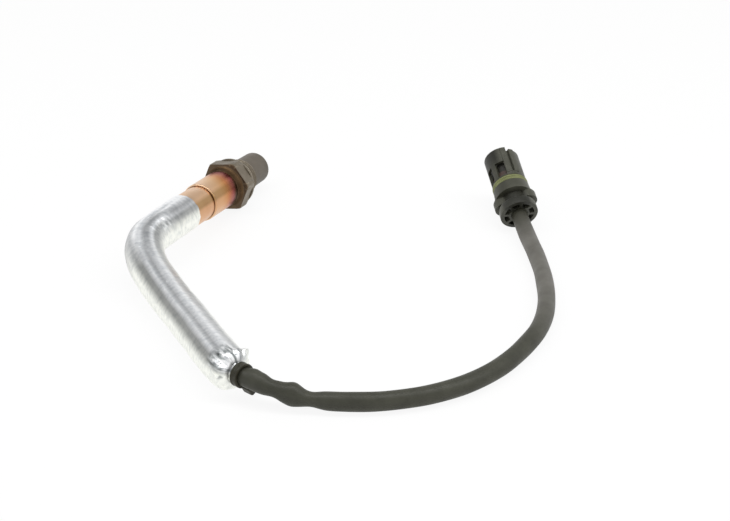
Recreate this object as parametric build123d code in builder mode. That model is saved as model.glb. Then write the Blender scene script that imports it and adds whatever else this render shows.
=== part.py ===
from build123d import *
import math
import os

# Heated oxygen sensor with its heat sleeve, cable and plug, lying at rest on the plane z = 0.
# Millimetres and degrees.  Distances along the sensor and along the plug are measured from a
# datum face and grow towards the nose: the rear face of the hexagon, and the plug's wings.

os.makedirs("parts", exist_ok=True)

# ---- how the rigid pieces lie: yaw is turned from +Y towards +X ----
sensor_yaw = 22.7
sensor_dip = 6.05
sensor_roll = 10.0
hex_place = (5.9, 67.75)
plug_yaw = -11.4
plug_rise = 21.95
plug_place = (142.5, 55.45)
tie_yaw = 132.0
tie_rise = 2.0
tie_roll = 26.0
tie_place = (25.85, -94.1)
tie_height = 10.15

# ---- clearances ----
fit_gap = 0.05
slide_gap = 0.1

# ---- sensor shell ----
hex_across_flats = 22.0
hex_thickness = 7.0
hex_corner_cut = 0.7
hex_chamfer_angle = 30.0
boss_height = 0.6
boss_length = 3.5
spigot_length = 4.0
collar_margin = 0.7
collar_thickness = 1.2
relief_depth = 0.8
thread_radius = 9.0
thread_length = 8.8
thread_chamfer = 0.8
shell_bore_radius = 6.4
shell_bore_depth = 6.0
nose_bore_radius = 4.6
nose_socket_depth = 4.0

# ---- gasket ----
gasket_overhang = 1.9
gasket_thickness = 1.7
gasket_edge = 0.45

# ---- sensing element and the stack that holds it ----
element_width = 4.0
element_thickness = 1.4
element_tip_gap = 1.45
element_tail_room = 3.0
front_bush_length = 4.2
powder_length = 3.6
rear_bush_recess = 0.7

# ---- protection tubes ----
outer_tube_radius = 6.0
outer_tube_wall = 0.5
outer_slot_count = 8
outer_slot_margin = 5.0
outer_slot_length = 5.0
outer_slot_width = 1.4
inner_tube_wall = 0.4
inner_tube_length = 21.0
inner_vent_count = 6
inner_vent_margin = 7.05
inner_vent_width = 1.5
tube_tip_fillet = 1.2
tube_end_gap = 0.25

# ---- push-on cap over the protection tubes ----
cap_taper = 0.25
cap_end_gap = 1.9
cap_end_wall = 1.5
cap_wall = 1.15
cap_tip_fillet = 1.7
cap_grip_ribs = 6
cap_grip_height = 0.4
cap_grip_width = 1.0

# ---- metal sleeves behind the hexagon ----
sleeve_wall = 0.5
front_sleeve_radius = 8.9
front_sleeve_end = -25.0
rim_height = 0.25
rim_width = 1.3
sleeve_step = 0.2
sleeve_overlap = 5.0
rear_sleeve_edge = 0.5
crimp_depth = 0.35
crimp_width = 2.2
crimp_depths_in = (2.5, 7.5)

# ---- contacts, wires and grommet inside the metal sleeves ----
holder_end = -26.0
holder_side_room = 0.7
holder_spring_room = 0.6
spring_width = 1.2
spring_thickness = 0.35
spring_spacing = 2.2
spring_start = -12.0
spring_bend_room = 1.5
spring_bend_length = 1.5
spring_tail_length = 2.5
wire_radius = 1.1
wire_entry = 0.5
wire_last_run = 3.5
crimp_barrel_length = 3.5
crimp_barrel_wall = 0.25
crimp_barrel_gap = 0.6
grommet_room = 3.0
grommet_length = 9.5

# ---- heat sleeve ----
cloth_wall = 0.4
cloth_grip = 8.0
cloth_straight = 6.7
later_bends = [(-24.0, 5.2, 16.4), (-21.9, -8.7, 12.6), (-9.9, -30.7, 9.3), (2.6, -53.7, 9.0)]
neck_start = (15.2, -80.1, 9.8)
bend_share = 0.45
pleat_count = 9
shoulder_share = 0.5
shoulder_fullness = 1.03
shoulder_pleat = 0.3
gather_share = 0.84
gather_fullness = 0.7
gather_pleat = 0.7
waist_pleat = 0.05
waist_gap = 0.1

# ---- cable tie ----
tie_width = 3.6
tie_thickness = 0.5
tie_clearance = 0.05
tie_head_width = 5.0
tie_head_length = 5.4
tie_head_height = 3.6
tie_head_lead = 1.1
tie_head_fillet = 0.6
tie_tail_length = 1.6
tie_tail_offset = 1.2
waist_lead = 0.8
waist_inset = 0.4

# ---- cable: its route's points after the tie, chosen by hand ----
cable_diameter = 7.7
cable_start_before_tie = 7.0
cable_first_run = 7.0
cable_last_run = 19.4
cable_route = [
    (46.1, -101.6, 4.6),
    (63.6, -103.4, 3.9),
    (83.6, -102.4, 3.9),
    (103.6, -96.1, 3.9),
    (121.4, -83.8, 3.9),
    (135.0, -66.6, 3.9),
    (145.9, -46.3, 3.9),
    (150.5, -21.8, 3.9),
    (150.3, 6.8, 3.9),
]
cable_end = -1.5

# ---- plug housing ----
barrel_radius = 8.15
barrel_wall = 1.4
barrel_end = 27.0
nose_chamfer = 0.7
collar_step = 0.3
collar_taper = 0.5
housing_rear = -4.2
neck_step = 2.9
neck_wall = 1.15
wing_height = 1.2
wing_rear = -3.9
wing_front = 0.3
wing_lobe_radius = 4.5
wing_turn = 80.0
groove_start = 6.2
groove_width = 2.8
groove_depth = 0.75
web_rear = 2.0
web_thickness = 2.0
window_margin = 0.8
window_length = 8.4
window_width = 4.4
window_turns = (-31.0, -82.0)
key_margin = 1.8
key_height = 0.5
key_width = 2.7
key_turns = (-5.0, 20.0)
key_slot_turn = 7.5
key_slot_width = 1.2
key_slot_margin = 0.8
key_slot_depth = 0.8
rim_notch_turn = 42.0
rim_notch_width = 9.4
rim_notch_depth = 1.7

# ---- ring seal round the plug ----
seal_rib_height = 0.35
seal_rib_count = 2

# ---- rear cap of the plug ----
rear_cap_overhang = 2.85
rear_cap_length = 5.2
rear_cap_rim = 1.8
rear_cap_fillet = 0.9
cable_collar_wall = 0.9
pocket_count = 8
pocket_floor = 1.0
pocket_rib = 1.5

# ---- inside the plug ----
contact_spacing = 4.6
pin_radius = 0.75
pin_reach = 4.0
pin_chamfer = 0.3
shank_radius = 1.05
shank_reach = 1.0
carrier_shoulder_set_back = 0.2
carrier_lip = 1.4
skirt_wall = 0.9
skirt_cover = 1.1
lock_set_back = 1.2
lock_thickness = 1.05
lock_width = 2.4
lock_opening = 4.0


def direction(yaw, rise):
    """Unit vector turned by yaw from +Y towards +X, and raised by rise above level."""
    level = math.cos(math.radians(rise))
    across = math.sin(math.radians(yaw)) * level
    away = math.cos(math.radians(yaw)) * level
    return Vector(across, away, math.sin(math.radians(rise)))


def seat_plane(place, height, yaw, rise, roll):
    """Plane across an axis through a place: x starts level, to the left, and is rolled."""
    ahead = direction(yaw, rise)
    left = Vector(-math.cos(math.radians(yaw)), math.sin(math.radians(yaw)), 0)
    return Plane(origin=(*place, height), x_dir=left.rotate(Axis((0, 0, 0), ahead), roll), z_dir=ahead)


def lengthwise(seat):
    """Plane that holds a seat's axis: its x runs along the axis and its y outwards."""
    return Plane(origin=seat.origin, x_dir=seat.z_dir, z_dir=seat.y_dir)


def along(seat, distance):
    """Point on a seat's axis, this far from its datum."""
    return seat.origin + seat.z_dir * distance


def corner_radii(points):
    """The radius of each corner of a route, as large as its two runs allow."""
    radii = []
    for before, corner, after in zip(points, points[1:], points[2:]):
        arriving = corner - before
        leaving = after - corner
        half_turn = math.radians(arriving.get_angle(leaving)) / 2
        shorter = min(arriving.length, leaving.length)
        radii.append(bend_share * shorter / math.tan(half_turn))
    return radii


def crimped_edge(radius):
    """Points of a wall that is pressed in at each crimp, from the front to the rear."""
    points = []
    for depth_in in crimp_depths_in:
        place = grommet_start - depth_in
        points.append((place + crimp_width / 2, radius))
        points.append((place + crimp_width / 4, radius - crimp_depth))
        points.append((place - crimp_width / 4, radius - crimp_depth))
        points.append((place - crimp_width / 2, radius))
    return points


def gathered_points(mean_radius, pleat_depth):
    """Points of a closed outline whose radius waves once for each pleat."""
    steps = pleat_count * 4
    turns = [2 * math.pi * step / steps for step in range(steps)]
    reach = [mean_radius + pleat_depth * math.cos(pleat_count * turn) for turn in turns]
    return [(r * math.cos(turn), r * math.sin(turn)) for r, turn in zip(reach, turns)]


# ---- seat of the sensor: a corner of the hexagon rests on z = 0 ----
hex_corner_radius = hex_across_flats / 2 / math.cos(math.radians(30))
hex_land_radius = hex_corner_radius - hex_corner_cut
hex_chamfer = hex_corner_cut * math.tan(math.radians(hex_chamfer_angle))
hex_contact = hex_thickness - hex_chamfer
lowest_corner = hex_corner_radius * math.cos(math.radians(30 - sensor_roll))
sensor_height = -(direction(sensor_yaw, -sensor_dip) * hex_contact).Z
sensor_height += lowest_corner * math.cos(math.radians(sensor_dip))
sensor = seat_plane(hex_place, sensor_height, sensor_yaw, -sensor_dip, -sensor_roll)
sensor_section = lengthwise(sensor)
sensor_axis = Axis(sensor.origin, sensor.z_dir)

# ---- radii and stations of the plug's outside ----
collar_front_radius = barrel_radius + collar_step
collar_rear_radius = collar_front_radius + collar_taper
housing_neck_radius = collar_rear_radius - neck_step
wing_radius = collar_rear_radius + wing_height
rear_cap_radius = housing_neck_radius + rear_cap_overhang
rear_cap_end = housing_rear - rear_cap_length

# ---- seat of the plug: the rear cap's edge rests on z = 0, and x points up ----
plug_height = rear_cap_radius * math.cos(math.radians(plug_rise))
plug_height -= rear_cap_end * math.sin(math.radians(plug_rise))
plug = seat_plane(plug_place, plug_height, plug_yaw, plug_rise, 90)
plug_section = lengthwise(plug)
plug_axis = Axis(plug.origin, plug.z_dir)

# ---- seat of the cable tie: held up by the sleeve and the cable; its head hangs along -y ----
waist_radius = cable_diameter / 2 + waist_gap + waist_pleat + cloth_wall
tie_inner_radius = waist_radius + waist_pleat + tie_clearance
tie_outer_radius = tie_inner_radius + tie_thickness
tie_drop = tie_outer_radius + tie_head_height
tie = seat_plane(tie_place, tie_height, tie_yaw, tie_rise, tie_roll)

# ---- radii along the sensor: from the thread to the collar, and from the front sleeve back ----
relief_radius = thread_radius - relief_depth
gasket_radius = thread_radius + gasket_overhang
collar_radius = gasket_radius + collar_margin
boss_radius = front_sleeve_radius + boss_height
spigot_radius = front_sleeve_radius - sleeve_wall - fit_gap
rim_radius = front_sleeve_radius + rim_height
rear_sleeve_radius = front_sleeve_radius - sleeve_wall - sleeve_step
rear_sleeve_bore = rear_sleeve_radius - sleeve_wall
cloth_radius = rear_sleeve_radius + slide_gap + cloth_wall

# ---- stations along the sensor's nose ----
collar_front = hex_thickness + collar_thickness
relief_end = collar_front + gasket_thickness
thread_end = collar_front + thread_length
nose_socket = thread_end - nose_socket_depth
inner_tube_start = shell_bore_depth + fit_gap
inner_tube_end = inner_tube_start + inner_tube_length
inner_tube_floor = inner_tube_end - inner_tube_wall - tube_tip_fillet
element_tip = inner_tube_floor - element_tip_gap
outer_tube_floor = inner_tube_end + tube_end_gap
outer_tube_end = outer_tube_floor + outer_tube_wall + tube_tip_fillet
cap_start = thread_end + slide_gap
cap_floor = outer_tube_end + cap_end_gap
cap_end = cap_floor + cap_end_wall

# ---- stations behind the hexagon: each piece starts where the one before it ends ----
spigot_end = -boss_length - spigot_length
rear_sleeve_start = front_sleeve_end + sleeve_overlap
element_tail = holder_end + element_tail_room
spring_bend_start = holder_end - spring_bend_room
spring_bend_end = spring_bend_start - spring_bend_length
barrel_front = spring_bend_end - spring_tail_length
barrel_rear = barrel_front - crimp_barrel_length
wire_start = barrel_front - wire_entry
grommet_start = barrel_rear - grommet_room
grommet_end = grommet_start - grommet_length
rear_sleeve_end = grommet_end - rear_sleeve_edge
cloth_mouth = rear_sleeve_end + cloth_grip
first_bend = rear_sleeve_end - cloth_straight
wire_spacing = 2 * (wire_radius + fit_gap + crimp_barrel_wall) + crimp_barrel_gap

# ---- sensor shell: hexagon, collar, thread blank, weld boss and spigot ----
with BuildPart() as sensor_shell:
    with BuildSketch(sensor):
        RegularPolygon(radius=hex_across_flats / 2, side_count=6, major_radius=False)
    extrude(amount=hex_thickness)
    with BuildSketch(sensor_section):
        with BuildLine():
            Polyline(
                (0, 0),
                (0, hex_land_radius),
                (hex_chamfer, hex_corner_radius),
                (hex_contact, hex_corner_radius),
                (hex_thickness, hex_land_radius),
                (hex_thickness, 0),
                close=True,
            )
        make_face()
    revolve(axis=sensor_axis, mode=Mode.INTERSECT)
    with BuildSketch(sensor_section):
        with BuildLine():
            Polyline(
                (spigot_end, 0),
                (spigot_end, spigot_radius),
                (-boss_length, spigot_radius),
                (-boss_length, boss_radius),
                (hex_thickness, boss_radius),
                (hex_thickness, collar_radius),
                (collar_front, collar_radius),
                (collar_front, relief_radius),
                (relief_end, relief_radius),
                (relief_end, thread_radius),
                (thread_end - thread_chamfer, thread_radius),
                (thread_end, thread_radius - thread_chamfer),
                (thread_end, 0),
                close=True,
            )
        make_face()
    revolve(axis=sensor_axis)
    with BuildSketch(sensor_section):
        with BuildLine():
            Polyline(
                (spigot_end, 0),
                (spigot_end, shell_bore_radius),
                (shell_bore_depth, shell_bore_radius),
                (shell_bore_depth, nose_bore_radius),
                (nose_socket, nose_bore_radius),
                (nose_socket, outer_tube_radius + fit_gap),
                (thread_end, outer_tube_radius + fit_gap),
                (thread_end, 0),
                close=True,
            )
        make_face()
    revolve(axis=sensor_axis, mode=Mode.SUBTRACT)
sensor_shell.part.label = "sensor_shell"

# ---- captive gasket in the relief behind the thread ----
with BuildPart() as gasket_ring:
    with BuildSketch(sensor.offset(collar_front)):
        Circle(gasket_radius)
        Circle(relief_radius + slide_gap, mode=Mode.SUBTRACT)
    extrude(amount=gasket_thickness)
    chamfer(gasket_ring.edges().filter_by(GeomType.CIRCLE), gasket_edge)
gasket_ring.part.label = "gasket_ring"

# ---- stack in the shell: ceramic, pressed powder, ceramic, each slotted for the element ----
bush_radius = shell_bore_radius - fit_gap
stack_slot_width = element_width + 2 * fit_gap
stack_slot_height = element_thickness + 2 * fit_gap
powder_front = shell_bore_depth - front_bush_length
rear_bush_front = powder_front - powder_length
rear_bush_rear = spigot_end + rear_bush_recess

with BuildPart() as front_bush:
    with BuildSketch(sensor.offset(shell_bore_depth)):
        Circle(bush_radius)
        Rectangle(stack_slot_width, stack_slot_height, mode=Mode.SUBTRACT)
    extrude(amount=-front_bush_length)
front_bush.part.label = "front_bush"

with BuildPart() as powder_seal:
    with BuildSketch(sensor.offset(powder_front)):
        Circle(bush_radius)
        Rectangle(stack_slot_width, stack_slot_height, mode=Mode.SUBTRACT)
    extrude(amount=-powder_length)
powder_seal.part.label = "powder_seal"

with BuildPart() as rear_bush:
    with BuildSketch(sensor.offset(rear_bush_front)):
        Circle(bush_radius)
        Rectangle(stack_slot_width, stack_slot_height, mode=Mode.SUBTRACT)
    extrude(amount=rear_bush_rear - rear_bush_front)
rear_bush.part.label = "rear_bush"

# ---- planar sensing element, from the nose back to the contact springs ----
with BuildPart() as sensor_element:
    with BuildSketch(sensor.offset(element_tail)):
        Rectangle(element_width, element_thickness)
    extrude(amount=element_tip - element_tail)
sensor_element.part.label = "sensor_element"

# ---- inner protection tube: closed at its tip, with a ring of round-ended vents ----
inner_tube_radius = nose_bore_radius - fit_gap
inner_vent_place = inner_tube_end - inner_vent_margin - inner_vent_width
with BuildPart() as inner_tube:
    with BuildSketch(sensor.offset(inner_tube_start)):
        Circle(inner_tube_radius)
    extrude(amount=inner_tube_length)
    fillet(inner_tube.faces().sort_by(sensor_axis)[-1].edges(), tube_tip_fillet)
    with BuildSketch(sensor.offset(inner_tube_start)):
        Circle(inner_tube_radius - inner_tube_wall)
    extrude(amount=inner_tube_floor - inner_tube_start, mode=Mode.SUBTRACT)
    with BuildSketch(sensor.offset(inner_vent_place)):
        with PolarLocations(inner_tube_radius, inner_vent_count):
            Rectangle(inner_tube_radius, inner_vent_width)
    extrude(amount=inner_vent_width, mode=Mode.SUBTRACT)
inner_tube.part.label = "inner_tube"

# ---- outer protection tube: seated in the shell's nose, with long slots ----
outer_slot_start = outer_tube_end - outer_slot_margin - outer_slot_length
with BuildPart() as outer_tube:
    with BuildSketch(sensor.offset(nose_socket)):
        Circle(outer_tube_radius)
    extrude(amount=outer_tube_end - nose_socket)
    fillet(outer_tube.faces().sort_by(sensor_axis)[-1].edges(), tube_tip_fillet)
    with BuildSketch(sensor.offset(nose_socket)):
        Circle(outer_tube_radius - outer_tube_wall)
    extrude(amount=outer_tube_floor - nose_socket, mode=Mode.SUBTRACT)
    with BuildSketch(sensor.offset(outer_slot_start)):
        with PolarLocations(outer_tube_radius, outer_slot_count):
            Rectangle(outer_tube_wall * 4, outer_slot_width)
    extrude(amount=outer_slot_length, mode=Mode.SUBTRACT)
outer_tube.part.label = "outer_tube"

# ---- cap: slightly tapered, gripping the outer tube with small ribs ----
cap_grip_radius = outer_tube_radius + fit_gap
cap_bore_radius = cap_grip_radius + cap_grip_height
cap_tip_radius = cap_bore_radius + cap_wall
cap_mouth_radius = cap_tip_radius + cap_taper
with BuildPart() as protective_cap:
    with BuildSketch(sensor_section):
        with BuildLine():
            Polyline(
                (cap_start, 0),
                (cap_start, cap_mouth_radius),
                (cap_end, cap_tip_radius),
                (cap_end, 0),
                close=True,
            )
        make_face()
    revolve(axis=sensor_axis)
    fillet(protective_cap.faces().sort_by(sensor_axis)[-1].edges(), cap_tip_fillet)
    with BuildSketch(sensor.offset(cap_start)):
        Circle(cap_bore_radius)
        with PolarLocations(cap_grip_radius, cap_grip_ribs):
            Rectangle(cap_wall, cap_grip_width, align=(Align.MIN, Align.CENTER), mode=Mode.SUBTRACT)
    extrude(amount=cap_floor - cap_start, mode=Mode.SUBTRACT)
protective_cap.part.label = "protective_cap"

# ---- front metal sleeve: pressed over the shell's spigot, with a beaded rear rim ----
rim_front = front_sleeve_end + rim_width
rim_bore = rear_sleeve_radius + fit_gap
with BuildPart() as front_sleeve:
    with BuildSketch(sensor_section):
        with BuildLine():
            Polyline(
                (-boss_length - fit_gap, front_sleeve_radius - sleeve_wall),
                (-boss_length - fit_gap, front_sleeve_radius),
                (rim_front, front_sleeve_radius),
                (rim_front, rim_radius),
                (front_sleeve_end, rim_radius),
                (front_sleeve_end, rim_bore),
                (rim_front, rim_bore),
                (rim_front, front_sleeve_radius - sleeve_wall),
                close=True,
            )
        make_face()
    revolve(axis=sensor_axis)
front_sleeve.part.label = "front_sleeve"

# ---- rear metal sleeve: crimped twice onto the grommet ----
with BuildPart() as rear_sleeve:
    with BuildSketch(sensor_section):
        with BuildLine():
            Polyline(
                (rear_sleeve_start, rear_sleeve_radius),
                *crimped_edge(rear_sleeve_radius),
                (rear_sleeve_end, rear_sleeve_radius),
                (rear_sleeve_end, rear_sleeve_bore),
                *reversed(crimped_edge(rear_sleeve_bore)),
                (rear_sleeve_start, rear_sleeve_bore),
                close=True,
            )
        make_face()
    revolve(axis=sensor_axis)
rear_sleeve.part.label = "rear_sleeve"

# ---- contact holder: ceramic, from the spigot's end back into the rear sleeve ----
holder_start = spigot_end - fit_gap
holder_radius = rear_sleeve_bore - slide_gap
holder_cavity_width = element_width + 2 * holder_side_room
holder_cavity_height = element_thickness + 2 * (fit_gap + spring_thickness + holder_spring_room)
with BuildPart() as contact_holder:
    with BuildSketch(sensor.offset(holder_start)):
        Circle(holder_radius)
        Rectangle(holder_cavity_width, holder_cavity_height, mode=Mode.SUBTRACT)
    extrude(amount=holder_end - holder_start)
contact_holder.part.label = "contact_holder"

# ---- four contact springs: a strip on the element, a tail, and a barrel round each wire ----
spring_height = element_thickness / 2 + fit_gap
tail_height = wire_spacing / 2
spring_side = Plane(origin=sensor.origin, x_dir=sensor.z_dir, z_dir=-sensor.x_dir)
with BuildPart() as contact_springs:
    with BuildSketch(spring_side.offset(spring_spacing / 2 - spring_width / 2)):
        with BuildLine():
            Polyline(
                (spring_start, spring_height),
                (spring_bend_start, spring_height),
                (spring_bend_end, tail_height),
                (barrel_front, tail_height),
                (barrel_front, tail_height + spring_thickness),
                (spring_bend_end, tail_height + spring_thickness),
                (spring_bend_start, spring_height + spring_thickness),
                (spring_start, spring_height + spring_thickness),
                close=True,
            )
        make_face()
    extrude(amount=spring_width)
    with BuildSketch(sensor.offset(barrel_front)):
        with Locations((-wire_spacing / 2, wire_spacing / 2)):
            Circle(wire_radius + fit_gap + crimp_barrel_wall)
    extrude(amount=barrel_rear - barrel_front)
    with BuildSketch(sensor.offset(wire_start)):
        with Locations((-wire_spacing / 2, wire_spacing / 2)):
            Circle(wire_radius + fit_gap)
    extrude(amount=barrel_rear - wire_start, mode=Mode.SUBTRACT)
    mirror(about=Plane(origin=sensor.origin, z_dir=sensor.x_dir))
    mirror(about=Plane(origin=sensor.origin, z_dir=sensor.y_dir))
contact_springs.part.label = "contact_springs"

# ---- rubber grommet: crimped with the rear sleeve, and bored for four wires ----
grommet_radius = rear_sleeve_bore - fit_gap
with BuildPart() as grommet:
    with BuildSketch(sensor_section):
        with BuildLine():
            Polyline(
                (grommet_start, 0),
                (grommet_start, grommet_radius),
                *crimped_edge(grommet_radius),
                (grommet_end, grommet_radius),
                (grommet_end, 0),
                close=True,
            )
        make_face()
    revolve(axis=sensor_axis)
    with BuildSketch(sensor.offset(grommet_start)):
        with GridLocations(wire_spacing, wire_spacing, 2, 2):
            Circle(wire_radius + fit_gap)
    extrude(amount=grommet_end - grommet_start, mode=Mode.SUBTRACT)
grommet.part.label = "grommet"

# ---- route of the heat sleeve, then a curve through its gathered neck ----
sleeve_points = [along(sensor, cloth_mouth), along(sensor, first_bend)]
sleeve_points += [Vector(*point) for point in later_bends]
sleeve_points.append(Vector(*neck_start))
sleeve_leg = (sleeve_points[-1] - sleeve_points[-2]).normalized()
waist_start = -tie_width / 2 - waist_lead
waist_length = tie_width + waist_lead - waist_inset
waist_plane = tie.offset(waist_start)
neck_line = Spline(sleeve_points[-1], waist_plane.origin, tangents=(sleeve_leg, tie.z_dir))


def neck_plane(share):
    """Plane across the neck's curve, at this share of its length, with y upwards."""
    ahead = neck_line % share
    return Plane(origin=neck_line @ share, x_dir=Vector(0, 0, 1).cross(ahead), z_dir=ahead)


def neck_radius(fullness):
    """Mean radius of the neck: the waist's where the fullness is 0, and the cloth's where it is 1."""
    return waist_radius + fullness * (cloth_radius - waist_radius)


neck_stations = [
    (0, neck_radius(1), 0),
    (shoulder_share, neck_radius(shoulder_fullness), shoulder_pleat),
    (gather_share, neck_radius(gather_fullness), gather_pleat),
    (1, waist_radius, waist_pleat),
]

# ---- heat sleeve: a bent tube of cloth whose end is gathered in pleats under the tie ----
with BuildPart() as heat_sleeve:
    for inset, mode in ((0, Mode.ADD), (cloth_wall, Mode.SUBTRACT)):
        with BuildLine():
            FilletPolyline(*sleeve_points, radius=corner_radii(sleeve_points))
        with BuildSketch(sensor.offset(cloth_mouth)):
            Circle(cloth_radius - inset)
        sweep(mode=mode)
        for share, radius, pleat in neck_stations:
            with BuildSketch(neck_plane(share)):
                if pleat:
                    with BuildLine():
                        Spline(*gathered_points(radius - inset, pleat), periodic=True)
                    make_face()
                else:
                    Circle(radius - inset)
        loft(mode=mode)
        with BuildSketch(neck_plane(1)):
            with BuildLine():
                Spline(*gathered_points(waist_radius - inset, waist_pleat), periodic=True)
            make_face()
        extrude(amount=waist_length, mode=mode)
heat_sleeve.part.label = "heat_sleeve"

# ---- cable: straight runs joined by tangent arcs, from inside the neck into the plug ----
cable_points = [along(tie, -cable_start_before_tie), along(tie, cable_first_run)]
cable_points += [Vector(*point) for point in cable_route]
cable_points += [along(plug, -cable_last_run), along(plug, cable_end)]
cable_radii = corner_radii(cable_points)
with BuildPart() as cable:
    with BuildLine() as cable_line:
        FilletPolyline(*cable_points, radius=cable_radii)
    with BuildSketch(Plane(origin=cable_points[0], z_dir=tie.z_dir)):
        Circle(cable_diameter / 2)
    sweep()
cable.part.label = "cable"

# ---- four lead wires, from the springs' barrels through the grommet to the cable ----
wire_points = [along(sensor, wire_start - fit_gap), *sleeve_points[1:]]
wire_points.append(along(tie, -cable_start_before_tie - wire_last_run))
wire_points.append(along(tie, -cable_start_before_tie - fit_gap))
with BuildPart() as lead_wires:
    with BuildLine():
        FilletPolyline(*wire_points, radius=corner_radii(wire_points))
    with BuildSketch(sensor.offset(wire_start - fit_gap)):
        with GridLocations(wire_spacing, wire_spacing, 2, 2):
            Circle(wire_radius)
    sweep()
lead_wires.part.label = "lead_wires"

# ---- cable tie: strap round the gathered neck, head below it, and a short cut tail ----
with BuildPart() as cable_tie:
    with BuildSketch(tie.offset(-tie_width / 2)):
        Circle(tie_outer_radius)
        with Locations((tie_tail_offset, -tie_outer_radius + tie_thickness / 2)):
            Rectangle(tie_head_width, tie_thickness)
    extrude(amount=tie_width)
    with BuildSketch(tie.offset(tie_head_lead - tie_head_length / 2)):
        with Locations((0, -tie_drop)):
            Rectangle(tie_head_width, tie_head_height + tie_thickness, align=(Align.CENTER, Align.MIN))
    extrude(amount=tie_head_length)
    fillet(cable_tie.faces().sort_by(Axis(tie.origin, tie.y_dir))[0].edges(), tie_head_fillet)
    with BuildSketch(tie.offset(-tie_width / 2)):
        with Locations((tie_head_width / 2, -tie_drop + tie_head_height / 2)):
            Rectangle(tie_tail_length, tie_thickness, align=(Align.MIN, Align.CENTER))
    extrude(amount=tie_width)
    with BuildSketch(tie.offset(-tie_head_length)):
        Circle(tie_inner_radius)
    extrude(amount=2 * tie_head_length, mode=Mode.SUBTRACT)
cable_tie.part.label = "cable_tie"

# ---- plug housing: wings, tapered collar, seal groove, windowed barrel, keys and rim notch ----
groove_end = groove_start + groove_width
groove_radius = barrel_radius - groove_depth
socket_radius = barrel_radius - barrel_wall
rear_cavity_radius = housing_neck_radius - neck_wall
web_front = web_rear + web_thickness
window_start = groove_end + window_margin
key_start = groove_end + key_margin
key_slot_start = key_start + key_slot_margin
key_slot_floor = barrel_radius - key_slot_depth
housing_start = housing_rear + fit_gap
with BuildPart() as connector_housing:
    with BuildSketch(plug_section):
        with BuildLine():
            Polyline(
                (housing_start, 0),
                (housing_start, housing_neck_radius),
                (wing_front, housing_neck_radius),
                (wing_front, collar_rear_radius),
                (groove_start, collar_front_radius),
                (groove_start, groove_radius),
                (groove_end, groove_radius),
                (groove_end, barrel_radius),
                (barrel_end - nose_chamfer, barrel_radius),
                (barrel_end, barrel_radius - nose_chamfer),
                (barrel_end, 0),
                close=True,
            )
        make_face()
    revolve(axis=plug_axis)
    with BuildSketch(plug.offset(wing_rear)):
        with PolarLocations(wing_radius - wing_lobe_radius, 2, start_angle=wing_turn):
            Circle(wing_lobe_radius)
        Circle(housing_neck_radius)
    extrude(amount=wing_front - wing_rear)
    for turn in key_turns:
        with BuildSketch(plug.offset(key_start)):
            with PolarLocations(0, 1, start_angle=turn):
                Rectangle(barrel_radius + key_height, key_width, align=(Align.MIN, Align.CENTER))
        extrude(amount=barrel_end - nose_chamfer - key_start)
    with BuildSketch(plug_section):
        with BuildLine():
            Polyline(
                (housing_start, 0),
                (housing_start, rear_cavity_radius),
                (web_rear, rear_cavity_radius),
                (web_rear, 0),
                close=True,
            )
        make_face()
        with BuildLine():
            Polyline(
                (web_front, 0),
                (web_front, socket_radius),
                (barrel_end, socket_radius),
                (barrel_end, 0),
                close=True,
            )
        make_face()
    revolve(axis=plug_axis, mode=Mode.SUBTRACT)
    with BuildSketch(plug.offset(web_rear)):
        with GridLocations(contact_spacing, contact_spacing, 2, 2):
            Circle(shank_radius + slide_gap)
    extrude(amount=web_front - web_rear, mode=Mode.SUBTRACT)
    for turn in window_turns:
        with BuildSketch(plug.offset(window_start)):
            with PolarLocations(0, 1, start_angle=turn):
                Rectangle(2 * barrel_radius, window_width, align=(Align.MIN, Align.CENTER))
        extrude(amount=window_length, mode=Mode.SUBTRACT)
    with BuildSketch(plug.offset(key_slot_start)):
        with PolarLocations(0, 1, start_angle=key_slot_turn):
            Rectangle(2 * barrel_radius, key_slot_width, align=(Align.MIN, Align.CENTER))
        Circle(key_slot_floor, mode=Mode.SUBTRACT)
    extrude(amount=barrel_end - key_slot_start, mode=Mode.SUBTRACT)
    with BuildSketch(plug.offset(barrel_end - rim_notch_depth)):
        with PolarLocations(0, 1, start_angle=rim_notch_turn):
            Rectangle(2 * barrel_radius, rim_notch_width, align=(Align.MIN, Align.CENTER))
    extrude(amount=rim_notch_depth, mode=Mode.SUBTRACT)
connector_housing.part.label = "connector_housing"

# ---- ring seal: a rubber ring with rounded ribs, stretched into the groove ----
seal_crest_radius = barrel_radius + seal_rib_height
seal_start = groove_start + fit_gap
seal_rib = (groove_width - 2 * fit_gap) / seal_rib_count
with BuildPart() as ring_seal:
    with BuildSketch(plug_section):
        with BuildLine():
            for rib in range(seal_rib_count):
                rib_start = seal_start + rib * seal_rib
                ThreePointArc(
                    (rib_start, barrel_radius),
                    (rib_start + seal_rib / 2, seal_crest_radius),
                    (rib_start + seal_rib, barrel_radius),
                )
            Polyline(
                (groove_end - fit_gap, barrel_radius),
                (groove_end - fit_gap, groove_radius + fit_gap),
                (seal_start, groove_radius + fit_gap),
                (seal_start, barrel_radius),
            )
        make_face()
    revolve(axis=plug_axis)
ring_seal.part.label = "ring_seal"

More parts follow.
